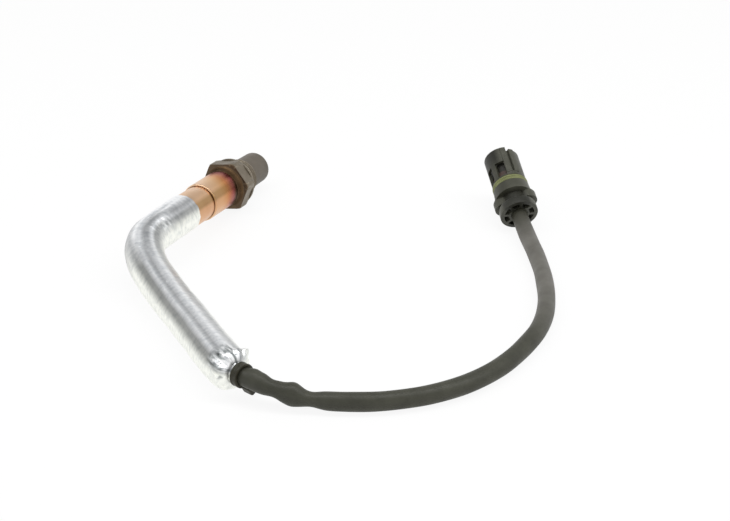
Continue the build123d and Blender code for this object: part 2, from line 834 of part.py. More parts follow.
# ---- rear cap: closes the housing, and has a ring of open pockets round the cable ----
cable_hole_radius = cable_diameter / 2 + fit_gap
pocket_inner_radius = cable_hole_radius + cable_collar_wall
pocket_outer_radius = rear_cap_radius - rear_cap_rim
with BuildPart() as rear_cap:
    with BuildSketch(plug.offset(rear_cap_end)):
        Circle(rear_cap_radius)
    extrude(amount=housing_rear - rear_cap_end)
    fillet(rear_cap.faces().sort_by(plug_axis)[-1].edges(), rear_cap_fillet)
    with BuildSketch(plug.offset(housing_rear)):
        Circle(rear_cavity_radius - fit_gap)
    extrude(amount=cable_end - housing_rear)
    with BuildSketch(plug.offset(rear_cap_end)):
        Circle(pocket_outer_radius)
        Circle(pocket_inner_radius, mode=Mode.SUBTRACT)
        with PolarLocations(0, pocket_count):
            Rectangle(rear_cap_radius, pocket_rib, align=(Align.MIN, Align.CENTER), mode=Mode.SUBTRACT)
    extrude(amount=rear_cap_length - pocket_floor, mode=Mode.SUBTRACT)
    with BuildSketch(plug.offset(rear_cap_end)):
        Circle(cable_hole_radius)
    extrude(amount=cable_end - rear_cap_end, mode=Mode.SUBTRACT)
rear_cap.part.label = "rear_cap"

# ---- wire seal: a rubber disc between the rear cap and the housing's web ----
seal_disc_start = cable_end + fit_gap
with BuildPart() as wire_seal:
    with BuildSketch(plug.offset(seal_disc_start)):
        Circle(rear_cavity_radius - fit_gap)
        with GridLocations(contact_spacing, contact_spacing, 2, 2):
            Circle(shank_radius + fit_gap, mode=Mode.SUBTRACT)
    extrude(amount=web_rear - fit_gap - seal_disc_start)
wire_seal.part.label = "wire_seal"

# ---- contact carrier: a shoulder, a waist for the lock, and a skirt behind the windows ----
carrier_radius = socket_radius - fit_gap
carrier_waist_radius = carrier_radius - lock_thickness - fit_gap
carrier_start = web_front + fit_gap
carrier_shoulder = window_start - carrier_shoulder_set_back
lock_start = carrier_shoulder + lock_set_back
carrier_end = lock_start + lock_width + carrier_lip
skirt_end = window_start + window_length + skirt_cover
with BuildPart() as contact_carrier:
    with BuildSketch(plug_section):
        with BuildLine():
            Polyline(
                (carrier_start, 0),
                (carrier_start, carrier_radius),
                (carrier_shoulder, carrier_radius),
                (carrier_shoulder, carrier_waist_radius),
                (skirt_end, carrier_waist_radius),
                (skirt_end, carrier_waist_radius - skirt_wall),
                (carrier_end, carrier_waist_radius - skirt_wall),
                (carrier_end, 0),
                close=True,
            )
        make_face()
    revolve(axis=plug_axis)
    with BuildSketch(plug.offset(carrier_start)):
        with GridLocations(contact_spacing, contact_spacing, 2, 2):
            Circle(shank_radius + fit_gap)
    extrude(amount=carrier_end - carrier_start, mode=Mode.SUBTRACT)
contact_carrier.part.label = "contact_carrier"

# ---- secondary lock: an open ring clipped round the carrier's waist ----
with BuildPart() as secondary_lock:
    with BuildSketch(plug.offset(lock_start)):
        Circle(carrier_radius)
        Circle(carrier_waist_radius + fit_gap, mode=Mode.SUBTRACT)
        with PolarLocations(0, 1, start_angle=180):
            Rectangle(barrel_radius, lock_opening, align=(Align.MIN, Align.CENTER), mode=Mode.SUBTRACT)
    extrude(amount=lock_width)
secondary_lock.part.label = "secondary_lock"

# ---- four turned contact pins ----
shank_end = carrier_shoulder + shank_reach
with BuildPart() as contact_pins:
    with BuildSketch(plug.offset(seal_disc_start)):
        with GridLocations(contact_spacing, contact_spacing, 2, 2):
            Circle(shank_radius)
    extrude(amount=shank_end - seal_disc_start)
    with BuildSketch(plug.offset(shank_end)):
        with GridLocations(contact_spacing, contact_spacing, 2, 2):
            Circle(pin_radius)
    extrude(amount=carrier_end + pin_reach - shank_end)
    chamfer(contact_pins.faces().group_by(plug_axis)[-1].edges(), pin_chamfer)
contact_pins.part.label = "contact_pins"

pieces = [
    sensor_shell,
    gasket_ring,
    front_bush,
    powder_seal,
    rear_bush,
    sensor_element,
    inner_tube,
    outer_tube,
    protective_cap,
    front_sleeve,
    rear_sleeve,
    contact_holder,
    contact_springs,
    grommet,
    lead_wires,
    heat_sleeve,
    cable_tie,
    cable,
    connector_housing,
    ring_seal,
    rear_cap,
    wire_seal,
    contact_carrier,
    secondary_lock,
    contact_pins,
]
for piece in pieces:
    export_step(piece.part, f"parts/{piece.part.label}.step")

route_length = sum(edge.length for edge in cable_line.edges())
section_area = math.pi * (cable_diameter / 2) ** 2
print("cable radii:", [round(radius, 1) for radius in cable_radii])
print("cable length:", round(route_length, 1))
print("cable volume:", round(cable.part.volume, 1), "of", round(section_area * route_length, 1))
print("sleeve radii:", [round(radius, 1) for radius in corner_radii(sleeve_points)])
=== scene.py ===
import math
import bmesh
import bpy
import numpy as np
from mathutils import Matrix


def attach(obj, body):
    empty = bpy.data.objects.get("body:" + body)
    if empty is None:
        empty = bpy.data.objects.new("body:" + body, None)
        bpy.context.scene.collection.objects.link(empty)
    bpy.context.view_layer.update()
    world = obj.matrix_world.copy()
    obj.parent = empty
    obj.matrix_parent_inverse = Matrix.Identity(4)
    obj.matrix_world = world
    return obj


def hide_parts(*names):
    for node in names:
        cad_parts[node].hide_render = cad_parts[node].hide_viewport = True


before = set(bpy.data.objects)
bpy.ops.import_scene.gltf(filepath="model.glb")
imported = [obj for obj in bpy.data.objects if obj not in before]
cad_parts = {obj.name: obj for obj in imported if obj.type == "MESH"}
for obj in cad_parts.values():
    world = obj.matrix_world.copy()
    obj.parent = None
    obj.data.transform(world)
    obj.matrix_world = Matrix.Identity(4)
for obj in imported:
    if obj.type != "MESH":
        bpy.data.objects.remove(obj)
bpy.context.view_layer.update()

# Heated oxygen sensor with a foil heat sleeve, a cable and its plug.
# Shapes are worked out in millimetres and become metres where a mesh is made.
# Distances along the sensor grow towards its nose, from the rear face of the hexagon.
# Distances along the plug grow towards its socket, from its wings, just behind the collar.
METRE = 0.001
CIRCLE = 2 * math.pi
TURNED_SIDES = 96


# ---------------------------------------------------------------- seats and outlines

def seat(origin, yaw, rise, roll):
    """Origin and axes of a rigid piece: its z is +Y turned by yaw towards +X and raised by rise,
    its x starts level, to the left, and is rolled about z, and its y is the cross product z * x."""
    yaw, rise, roll = np.radians((yaw, rise, roll))
    ahead = np.array([np.sin(yaw) * np.cos(rise), np.cos(yaw) * np.cos(rise), np.sin(rise)])
    left = np.array([-np.cos(yaw), np.sin(yaw), 0])
    across = left * np.cos(roll) + np.cross(ahead, left) * np.sin(roll)
    return np.array(origin), np.array([across, np.cross(ahead, across), ahead])


def polar(place, distance, radius, turn):
    """Points of a seat in cylinder coordinates: origin + z * distance
    + radius * (x * cos(turn) + y * sin(turn))."""
    origin, axes = place
    distance, radius, turn = np.broadcast_arrays(distance, radius, turn)
    local = np.stack([radius * np.cos(turn), radius * np.sin(turn), distance], axis=-1)
    return origin + local @ axes


def rounded(corners, cut, steps=4, closed=True):
    """Outline with softened corners: each corner becomes a parabola (1-t)^2 A + 2t(1-t) C + t^2 B
    from a point A before the corner C to a point B after it, both a cut's length away or
    0.45 of the shorter side.  An open outline keeps its two ends."""
    corners = np.asarray(corners, float)
    before = np.roll(corners, 1, axis=0) - corners
    after = np.roll(corners, -1, axis=0) - corners
    before_length = np.maximum(np.linalg.norm(before, axis=-1, keepdims=True), 1e-9)
    after_length = np.maximum(np.linalg.norm(after, axis=-1, keepdims=True), 1e-9)
    reach = np.minimum(cut, 0.45 * np.minimum(before_length, after_length))
    start = corners + before / before_length * reach
    end = corners + after / after_length * reach
    t = np.linspace(0, 1, steps + 1).reshape((-1,) + (1,) * corners.ndim)
    curve = (1 - t) ** 2 * start + 2 * t * (1 - t) * corners + t ** 2 * end
    curve = np.swapaxes(curve, 0, 1)
    if closed:
        return curve.reshape((-1,) + corners.shape[1:])
    middle = curve[1:-1].reshape((-1,) + corners.shape[1:])
    return np.concatenate([corners[:1], middle, corners[-1:]])


def ease(value, start, end):
    """Smooth step from 0 at start to 1 at end: 3t^2 - 2t^3."""
    t = np.clip((value - start) / (end - start), 0, 1)
    return t * t * (3 - 2 * t)


def bell(off, width):
    """Bell curve of height 1: exp(-(off / width)^2)."""
    return np.exp(-(off / width) ** 2)


def even_turns(count):
    """Even turns round a whole circle, in radians."""
    return np.arange(count) * CIRCLE / count


def turn_from(turn, middle):
    """Signed angle of each turn from a middle, in radians: the angle of e^(i * (turn - middle))."""
    return np.angle(np.exp(1j * (turn - middle)))


def stations(edges, soft, low, high, step):
    """Sorted grid positions: even steps from low to high, and five close ones across each edge."""
    around = np.add.outer(edges, soft * np.array([-1, -0.5, 0, 0.5, 1])).ravel()
    even = np.linspace(low, high, int((high - low) / step) + 1)
    far = np.abs(np.subtract.outer(even, around)).min(axis=1) > soft * 0.6
    far[[0, -1]] = True
    values = np.unique(np.round(np.concatenate([even[far], around]), 4))
    return values[(values >= low) & (values <= high)]


def bend(points):
    """Smooth line with these control points: parabolas from the middle of one run to the middle
    of the next, each with the corner between them as its control point."""
    steps = 24
    points = np.asarray(points, float)
    middles = (points[1:] + points[:-1]) / 2
    starts = np.concatenate([points[:1], middles[1:-1]])[:, None]
    ends = np.concatenate([middles[1:-1], points[-1:]])[:, None]
    corners = points[1:-1, None]
    t = np.linspace(0, 1, steps, endpoint=False)[None, :, None]
    line = (1 - t) ** 2 * starts + 2 * t * (1 - t) * corners + t ** 2 * ends
    return np.concatenate([line.reshape(-1, 3), points[-1:]])


def run_length(line):
    """Distance along a line at each of its points."""
    return np.concatenate([[0], np.cumsum(np.linalg.norm(np.diff(line, axis=0), axis=1))])


def spaced(line, places):
    """Points of a line at these distances along it."""
    run = run_length(line)
    return np.stack([np.interp(places, run, line[:, axis]) for axis in range(3)], axis=-1)


def around(line, radius, turn):
    """Skin round a line: at each point, radius * (up * cos(turn) + side * sin(turn)), where side is
    level and square to the line, and up is square to both."""
    ahead = np.gradient(line, axis=0)
    ahead /= np.linalg.norm(ahead, axis=1, keepdims=True)
    side = np.cross(ahead, (0, 0, 1))
    side /= np.linalg.norm(side, axis=1, keepdims=True)
    up = np.cross(side, ahead)
    radius, turn = (np.asarray(value)[..., None] for value in np.broadcast_arrays(radius, turn))
    return line[:, None] + radius * (up[:, None] * np.cos(turn) + side[:, None] * np.sin(turn))


def crumple(rows, columns, row_size, column_size, seed):
    """Noise of one scale that closes in both directions: white noise whose waves are weighted by
    w^2 * exp(-w^2), with w the frequency times the wanted size in cells, at unit spread."""
    noise = np.random.default_rng(seed).standard_normal((rows, columns))
    waves = (np.fft.fftfreq(rows)[:, None] * row_size) ** 2
    waves = waves + (np.fft.fftfreq(columns)[None] * column_size) ** 2
    smooth = np.fft.ifft2(np.fft.fft2(noise) * waves * np.exp(-waves)).real
    return smooth / smooth.std()


# ---------------------------------------------------------------- meshes

def mesh_piece(name, points, faces, uv, sharp):
    """Object from points in millimetres: doubles merged, faces turned outwards, smooth up to the
    sharp angle."""
    mesh = bpy.data.meshes.new(name)
    mesh.from_pydata((points * METRE).tolist(), [], faces.tolist())
    layer = mesh.uv_layers.new(name="UVMap")
    layer.data.foreach_set("uv", uv.astype(np.float32).ravel())
    form = bmesh.new()
    form.from_mesh(mesh)
    bmesh.ops.remove_doubles(form, verts=form.verts, dist=2e-7)
    bmesh.ops.recalc_face_normals(form, faces=form.faces)
    form.to_mesh(mesh)
    form.free()
    mesh.shade_smooth()
    mesh.set_sharp_from_angle(angle=math.radians(sharp))
    piece = bpy.data.objects.new(name, mesh)
    bpy.context.scene.collection.objects.link(piece)
    return piece


def skin(name, points, run, turn, along=True, sharp=40):
    """Mesh of a grid that closes around its columns and, if along is set, from its last row to its
    first: one face a cell.  Its UV holds the run of the row, in centimetres, and the share of a
    turn of the column."""
    rows, columns = points.shape[:2]
    index = np.arange(rows * columns).reshape(rows, columns)
    index = np.hstack([index, index[:, :1]])
    run = np.broadcast_to(np.asarray(run, float).reshape(rows, -1), (rows, columns))
    run = np.hstack([run, run[:, :1]]) / 10
    share = np.append(turn, turn[0] + CIRCLE) / CIRCLE
    if along:
        index = np.vstack([index, index[:1]])
        run = np.vstack([run, run[:1]])
    share = np.broadcast_to(share, run.shape)
    faces = corners_of(index)
    uv = np.stack([corners_of(run), corners_of(share)], axis=-1)
    return mesh_piece(name, points.reshape(-1, 3), faces, uv, sharp)


def corners_of(grid):
    """The four corner values of each cell of a grid, in order round the cell."""
    return np.stack([grid[:-1, :-1], grid[:-1, 1:], grid[1:, 1:], grid[1:, :-1]], axis=-1).reshape(-1, 4)


def revolved(name, place, outline):
    """Turned piece: a closed outline of (distance, radius) points carried round the axis."""
    turn = even_turns(TURNED_SIDES)
    points = polar(place, outline[:, :1], outline[:, 1:], turn)
    return skin(name, points, outline[:, 0], turn)


def turned(name, place, corners, cut=0.2):
    """Turned piece whose outline has softened corners."""
    return revolved(name, place, rounded(corners, cut))


def walled(name, outer, inner, solid, run, turn, sharp):
    """Wall between two grids, with openings: each solid cell has an outer and an inner face, and
    each edge between a solid cell and an open one, or at either end, is closed from the outer grid
    to the inner."""
    rows, columns = outer.shape[:2]
    index = np.arange(rows * columns).reshape(rows, columns)
    ahead = np.roll(index, -1, axis=1)
    below = rows * columns
    faces = np.stack([index[:-1], ahead[:-1], ahead[1:], index[1:]], axis=-1)[solid]
    padded = np.pad(solid, ((1, 1), (0, 0)))
    row_edge = padded[1:] != padded[:-1]
    column_edge = solid != np.roll(solid, 1, axis=1)
    across = np.stack([index, ahead, ahead + below, index + below], axis=-1)[row_edge]
    lengthwise = np.stack([index[:-1], index[1:], index[1:] + below, index[:-1] + below], axis=-1)
    faces = np.concatenate([faces, faces + below, across, lengthwise[column_edge]])
    points = np.concatenate([outer.reshape(-1, 3), inner.reshape(-1, 3)])
    grid = np.stack(np.meshgrid(run / 10, turn / CIRCLE, indexing="ij"), axis=-1).reshape(-1, 2)
    uv = np.concatenate([grid, grid])[faces.ravel()]
    used, faces = np.unique(faces, return_inverse=True)
    return mesh_piece(name, points[used], faces.reshape(-1, 4), uv, sharp)


# ---------------------------------------------------------------- materials

WHITE = (1, 1, 1, 1)
BLACK = (0, 0, 0, 1)


def add(tree, kind, inputs=None, **settings):
    """Node of a kind with its settings; each input is a value, or the socket that feeds it."""
    node = tree.nodes.new(kind)
    for name, value in settings.items():
        setattr(node, name, value)
    for name, value in (inputs or {}).items():
        if isinstance(value, bpy.types.NodeSocket):
            tree.links.new(value, node.inputs[name])
        else:
            node.inputs[name].default_value = value
    return node


def colour(red, green, blue):
    """Display colour of 0 to 255 as the linear colour that a shader takes."""
    display = np.array([red, green, blue]) / 255
    linear = np.where(display <= 0.04045, display / 12.92, ((display + 0.055) / 1.055) ** 2.4)
    return (*linear.tolist(), 1.0)


def noise(tree, scale, detail=3.0, stretch=None, roughness=0.55, coordinate="Object"):
    """Noise value on the piece's own coordinates; stretch scales them first along x, y and z."""
    source = add(tree, "ShaderNodeTexCoord").outputs[coordinate]
    if stretch:
        source = add(tree, "ShaderNodeMapping", {"Vector": source, "Scale": stretch}).outputs[0]
    values = {"Vector": source, "Scale": scale, "Detail": detail, "Roughness": roughness}
    return add(tree, "ShaderNodeTexNoise", values).outputs["Fac"]


def ramp(tree, factor, stops):
    """Colour ramp through (place, colour) stops."""
    node = add(tree, "ShaderNodeValToRGB", {"Fac": factor})
    elements = node.color_ramp.elements
    while len(elements) < len(stops):
        elements.new(0.5)
    for element, (place, value) in zip(elements, stops):
        element.position = place
        element.color = value
    return node.outputs["Color"]


def level(tree, factor, low, high, start=0.0, end=1.0):
    """A value from low to high as the factor goes from start to end."""
    values = {"Value": factor, "From Min": start, "From Max": end, "To Min": low, "To Max": high}
    return add(tree, "ShaderNodeMapRange", values).outputs["Result"]


def rise(tree, factor, start, end):
    """A value from 0 to 1 as the factor goes from start to end."""
    return level(tree, factor, 0.0, 1.0, start, end)


def maths(tree, operation, *values):
    """Result of a Math node on these values or sockets."""
    return add(tree, "ShaderNodeMath", dict(enumerate(values)), operation=operation).outputs[0]


def mixed(tree, factor, first, second, kind="MIX"):
    """Two colours mixed by a factor."""
    values = {0: factor, 6: first, 7: second}
    return add(tree, "ShaderNodeMix", values, data_type="RGBA", blend_type=kind).outputs[2]


def uv_part(tree, axis):
    """One part of the piece's UV: X is the distance along, in centimetres, and Y the share of a turn."""
    source = add(tree, "ShaderNodeTexCoord").outputs["UV"]
    return add(tree, "ShaderNodeSeparateXYZ", {"Vector": source}).outputs[axis]


def finish(name, base, roughness, height, bump, depth=0.0002, **constants):
    """Principled material.  base(tree) gives its colour, roughness(tree) its roughness and
    height(tree) its bump's height; the rest are constants on the shader's own sockets."""
    material = bpy.data.materials.new(name)
    material.use_nodes = True
    tree = material.node_tree
    shader = tree.nodes["Principled BSDF"]
    tree.links.new(base(tree), shader.inputs["Base Color"])
    tree.links.new(roughness(tree), shader.inputs["Roughness"])
    for socket, value in constants.items():
        shader.inputs[socket.replace("_", " ")].default_value = value
    values = {"Height": height(tree), "Strength": bump, "Distance": depth}
    tree.links.new(add(tree, "ShaderNodeBump", values).outputs["Normal"], shader.inputs["Normal"])
    return material


def clouds(tree, first, second, scale, detail=3.0, start=0.35, end=0.65):
    """Colour that wanders between two colours with noise of one scale."""
    return ramp(tree, noise(tree, scale, detail), ((start, first), (end, second)))


def uneven(low, high, scale):
    """A roughness that wanders between two values with noise of one scale."""
    def value(tree):
        return level(tree, noise(tree, scale), low, high, 0.3, 0.7)
    return value


def grain(scale):
    """A height of plain noise of one scale."""
    def value(tree):
        return noise(tree, scale, 2.0)
    return value


def mottled(name, first, second, scale, rough, fine, bump, detail=3.0, patch=200, **constants):
    """Material of one clouded colour, with an uneven roughness and a fine grain."""
    def base(tree):
        return clouds(tree, colour(*first), colour(*second), scale, detail)
    return finish(name, base, uneven(*rough, patch), grain(fine), bump, **constants)


def painted_reflection_ramp(tree, share, bands):
    """Painted reflections round the sleeve, as colours: each band is (degrees from the top, grey level,
    warmth), and the warmth is what its blue lacks."""
    stops = [(0.5 + turn / 360, colour(grey, grey + 1, grey + 2 - warmth)) for turn, grey, warmth in bands]
    return ramp(tree, share, stops)


def foil_base(tree):
    """Aluminium foil on white cloth, with its reflections painted in as soft bands that run along it: a
    painted highlight on each bright ridge either side of a grey valley, flanks darkened by painted
    shade and a cream underside.  They change from the mouth to the bend and again to the straight
    leg, waver, and drift round the sleeve beyond the bend.  Beside the tie the upper side breaks into
    dark patches of painted shade and bright ones of painted highlight."""
    mouth_end, corner_end, gather_start = (1.6, 2.3), (3.3, 5.4), (12.9, 13.4)
    place = uv_part(tree, "X")
    drift = level(tree, place, 0.0, -0.036, 2.6, 9.0)
    waver = level(tree, noise(tree, 1.0, 3, stretch=(0.35, 3, 1), coordinate="UV"), -0.014, 0.014)
    share = maths(tree, "ADD", maths(tree, "ADD", uv_part(tree, "Y"), drift), waver)
    share = maths(tree, "ADD", maths(tree, "WRAP", share, 0.5, -0.5), 0.5)
    # Painted reflections and painted shade in bands, for the mouth, the bend and the straight leg.
    mouth = painted_reflection_ramp(tree, share, (
        (-90, 253, 8), (-74, 240, 8), (-60, 178, 3), (-50, 166, 2), (-40, 204, 0), (-27, 182, 0),
        (-12, 232, 0), (0, 253, 0), (30, 250, 0), (55, 253, 0), (82, 250, 0), (97, 220, 0),
        (108, 220, 0), (122, 250, 2), (140, 253, 8)))
    corner = painted_reflection_ramp(tree, share, (
        (-80, 253, 8), (-64, 214, 4), (-50, 172, 2), (-38, 176, 2), (-27, 253, 0), (-15, 190, 0),
        (-3, 188, 0), (8, 253, 0), (28, 250, 0), (44, 210, 0), (64, 190, 0), (86, 172, 0),
        (106, 146, 0), (132, 150, 2), (150, 240, 8)))
    leg = painted_reflection_ramp(tree, share, (
        (-75, 253, 8), (-60, 240, 4), (-46, 196, 2), (-34, 206, 0), (-20, 253, 0), (-8, 236, 0),
        (2, 192, 0), (7, 206, 0), (14, 240, 0), (22, 200, 0), (31, 150, 3), (42, 154, 4),
        (52, 204, 6), (66, 253, 8)))
    shade = mixed(tree, rise(tree, place, *mouth_end), mouth, corner)
    shade = mixed(tree, rise(tree, place, *corner_end), shade, leg)
    # Painted shade and painted highlights in the gathers on the upper side beside the tie.
    painted_fold_light = noise(tree, 1.0, 3, stretch=(1.2, 16, 1), coordinate="UV")
    painted_fold_light = ramp(tree, painted_fold_light, ((0.36, colour(58, 62, 60)), (0.47, colour(170, 174, 174)), (0.56, WHITE)))
    upper = ramp(tree, share, ((0.38, BLACK), (0.43, WHITE), (0.62, WHITE), (0.67, BLACK)))
    gathered = maths(tree, "MULTIPLY", rise(tree, place, *gather_start), upper)
    shade = mixed(tree, gathered, shade, painted_fold_light)
    crinkles = noise(tree, 1.0, 4, stretch=(7, 17, 1), coordinate="UV")
    crinkles = ramp(tree, crinkles, ((0.34, colour(228, 230, 232)), (0.56, WHITE)))
    return mixed(tree, 0.9, shade, crinkles, "MULTIPLY")


def foil_height(tree):
    """Faint crinkles across the foil, and finer ones in them."""
    return noise(tree, 1.0, 5, stretch=(5, 14, 1), coordinate="UV", roughness=0.6)


def temper_base(tree):
    """Heat colours of the front sleeve, from peach at its rear to orange, magenta and dark brown
    beside the hexagon.  Their edges are cloudy and lean round the tube, and a painted reflection,
    an olive-brown band, runs along it, with painted shade on the browner side below it."""
    wander = level(tree, noise(tree, 55), -0.3, 0.3)
    turn = uv_part(tree, "Y")
    lean = level(tree, turn, 0.12, -0.12, 0.38, 0.52)
    place = maths(tree, "SUBTRACT", maths(tree, "ADD", uv_part(tree, "X"), wander), lean)
    stops = ((0.0, colour(228, 192, 158)), (0.3, colour(226, 186, 144)), (0.5, colour(218, 166, 112)),
             (0.64, colour(204, 136, 82)), (0.76, colour(182, 108, 84)), (0.86, colour(164, 84, 88)),
             (0.94, colour(120, 74, 56)), (1.0, colour(78, 58, 34)))
    heat = ramp(tree, rise(tree, place, -2.5, -0.35), stops)
    # Multiplied by the painted reflection and painted shade round the tube.
    return mixed(tree, 1.0, heat, painted_reflection_streak(tree, turn), "MULTIPLY")


def painted_reflection_streak(tree, turn):
    """Share of a turn as a tint of painted light: white, with an olive-brown band of painted
    reflection and a browner side of painted shade below it.
    """
    stops = ((0.0, colour(255, 250, 244)), (0.30, colour(255, 255, 255)), (0.385, colour(248, 240, 230)),
             (0.42, colour(196, 186, 160)), (0.465, colour(190, 178, 150)), (0.49, colour(232, 214, 196)),
             (0.56, colour(244, 228, 212)), (0.66, colour(255, 250, 240)), (1.0, colour(255, 250, 244)))
    return ramp(tree, turn, stops)


def straw_base(tree):
    """Peach heat colour of the rear sleeve, with faint clouds and the same painted reflection and
    painted shade along it.
    """
    cloud = clouds(tree, colour(222, 182, 146), colour(234, 200, 168), 70, start=0.3, end=0.7)
    # Multiplied by the same painted reflection and painted shade round the tube.
    return mixed(tree, 1.0, cloud, painted_reflection_streak(tree, uv_part(tree, "Y")), "MULTIPLY")


def hexagon_base(tree):
    """Dull brown-grey steel, much browner on the hexagon's rear face and the boss behind it."""
    steel = clouds(tree, colour(118, 109, 95), colour(132, 123, 109), 120, 4)
    behind = level(tree, uv_part(tree, "X"), 1.0, 0.0, -0.02, 0.06)
    return mixed(tree, behind, steel, clouds(tree, colour(78, 58, 38), colour(100, 78, 54), 90))


def housing_base(tree):
    """Olive-grey plastic.  Behind the collar it is darker wherever no wing stands, on the housing
    and the rear cap alike: painted shade.  From the collar on it is darker on one side, most of
    all near the rim: painted shade."""
    wing_front, barrel_middle = (0.01, 0.03), (1.5, 2.2)
    # Tints of painted shade: behind the collar, and on the barrel's darker side.
    shade_tint, dim, dark = (0.3, 0.3, 0.27, 1), (0.62, 0.62, 0.56, 1), (0.22, 0.22, 0.18, 1)
    plastic = clouds(tree, colour(66, 66, 56), colour(78, 78, 68), 120)
    place = uv_part(tree, "X")
    turn = maths(tree, "FRACT", uv_part(tree, "Y"))
    # Painted shade behind the collar, wherever no wing stands.
    painted_recess_shade = ramp(tree, turn, (
        (0.07, shade_tint), (0.10, WHITE), (0.31, WHITE), (0.34, shade_tint), (0.57, shade_tint), (0.60, WHITE),
        (0.81, WHITE), (0.84, shade_tint)))
    # Painted shade on one side of the barrel, deepest towards the rim.
    near = ramp(tree, turn, ((0.0, WHITE), (0.58, WHITE), (0.68, dim), (0.88, dim), (0.94, WHITE)))
    far = ramp(tree, turn, ((0.0, WHITE), (0.58, dim), (0.70, dark), (0.895, dark), (0.945, WHITE)))
    side = mixed(tree, rise(tree, place, *barrel_middle), near, far)
    shade = mixed(tree, rise(tree, place, *wing_front), painted_recess_shade, side)
    return mixed(tree, 1.0, plastic, shade, "MULTIPLY")


def jacket_base(tree):
    """Dark rubber, paler and slightly mauve towards the plug in a painted highlight, and dark again
    where it enters, in a painted shadow.
    """
    # Where the painted highlight rises and where the painted shadow at the plug begins, in centimetres.
    highlight_start, plug_shadow_start = (13.5, 18.5), (23.0, 24.8)
    place = uv_part(tree, "X")
    dark = clouds(tree, colour(56, 56, 47), colour(66, 66, 56), 140)
    # Painted highlight towards the plug.
    painted_light_tone = clouds(tree, colour(94, 92, 86), colour(106, 104, 98), 140)
    # Painted shadow where the cable enters the rear cap.
    painted_light_tone = mixed(tree, rise(tree, place, *plug_shadow_start), painted_light_tone, colour(50, 50, 40))
    return mixed(tree, rise(tree, place, *highlight_start), dark, painted_light_tone)


def brushed(tree):
    """Height of fine turned lines round the axis."""
    return noise(tree, 60, 2, stretch=(60, 1, 1), coordinate="UV")


steel_hexagon = finish(
    "steel_hexagon", hexagon_base, uneven(0.38, 0.55, 200), grain(700), 0.25, Metallic=0.85)
steel_tempered = finish(
    "steel_tempered", temper_base, uneven(0.24, 0.36, 90), brushed, 0.08, Metallic=1.0)
steel_straw = finish("steel_straw", straw_base, uneven(0.26, 0.38, 90), brushed, 0.08, Metallic=1.0)
foil = finish(
    "foil", foil_base, uneven(0.30, 0.42, 120), foil_height, 0.45, depth=0.0004, Metallic=0.85)
cable_rubber = finish(
    "cable_rubber", jacket_base, uneven(0.42, 0.58, 160), grain(1600), 0.15, Specular_IOR_Level=0.3)
housing_plastic = finish(
    "housing_plastic", housing_base, uneven(0.38, 0.5, 200), grain(1800), 0.12, Specular_IOR_Level=0.35)

# Each mottled finish: two colours, the clouds' scale, the roughness's range, the grain and its bump.
steel_plain = mottled(
    "steel_plain", (150, 145, 138), (182, 178, 170), 150, (0.3, 0.45), 800, 0.15, Metallic=1.0)
gasket_metal = mottled(
    "gasket_metal", (150, 140, 126), (184, 174, 158), 160, (0.3, 0.42), 800, 0.15, Metallic=1.0)
contact_metal = mottled(
    "contact_metal", (196, 176, 130), (214, 196, 152), 160, (0.22, 0.34), 1200, 0.08, Metallic=1.0)
cap_plastic = mottled(
    "cap_plastic", (84, 77, 66), (96, 88, 77), 90, (0.42, 0.52), 1500, 0.12, patch=150,
    Specular_IOR_Level=0.35)
tie_plastic = mottled(
    "tie_plastic", (40, 38, 26), (52, 50, 36), 200, (0.35, 0.5), 1200, 0.1, Specular_IOR_Level=0.3)
ring_rubber = mottled(
    "ring_rubber", (106, 110, 70), (124, 128, 84), 150, (0.4, 0.55), 1400, 0.12,
    Specular_IOR_Level=0.35)
carrier_plastic = mottled("carrier_plastic", (40, 39, 33), (52, 50, 43), 140, (0.4, 0.55), 1500, 0.12)
lock_plastic = mottled("lock_plastic", (56, 40, 33), (70, 50, 42), 140, (0.4, 0.55), 1500, 0.12)
ceramic = mottled("ceramic", (222, 216, 204), (236, 232, 222), 120, (0.45, 0.6), 1200, 0.15)
powder = mottled("powder", (150, 146, 138), (186, 182, 172), 900, (0.8, 0.9), 2200, 0.3, detail=4)
seal_rubber = mottled("seal_rubber", (120, 60, 44), (140, 74, 56), 140, (0.5, 0.6), 1500, 0.12)
wire_insulation = mottled(
    "wire_insulation", (206, 202, 192), (226, 222, 214), 160, (0.45, 0.55), 1500, 0.1)

node_finishes = {
    "sensor_shell": steel_hexagon, "gasket_ring": gasket_metal, "front_bush": ceramic,
    "powder_seal": powder, "rear_bush": ceramic, "sensor_element": ceramic,
    "inner_tube": steel_plain, "outer_tube": steel_plain, "protective_cap": cap_plastic,
    "front_sleeve": steel_tempered, "rear_sleeve": steel_straw, "contact_holder": ceramic,
    "contact_springs": contact_metal, "grommet": seal_rubber, "lead_wires": wire_insulation,
    "heat_sleeve": foil, "cable_tie": tie_plastic, "cable": cable_rubber,
    "connector_housing": housing_plastic, "ring_seal": ring_rubber, "rear_cap": housing_plastic,
    "wire_seal": seal_rubber, "contact_carrier": carrier_plastic, "secondary_lock": lock_plastic,
    "contact_pins": contact_metal,
}
for node_name, node_material in node_finishes.items():
    node_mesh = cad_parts[node_name].data
    node_mesh.materials.clear()
    node_mesh.materials.append(node_material)


def dress(piece, node):
    """The piece stands for a node, rides on the one body, and has that node's finish."""
    piece.data.materials.append(node_finishes[node])
    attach(piece, "root")
    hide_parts(node)
    return piece


# ---------------------------------------------------------------- sensor

sensor = seat((5.9, 67.75, 12.564), 22.7, -6.05, -10.0)
plug = seat((142.5, 55.45, 11.769), -11.4, 21.95, 90.0)
tie = seat((25.85, -94.1, 10.15), 132.0, 2.0, 26.0)


def along(place, distance):
    """Point on a seat's axis."""
    return place[0] + place[1][2] * distance


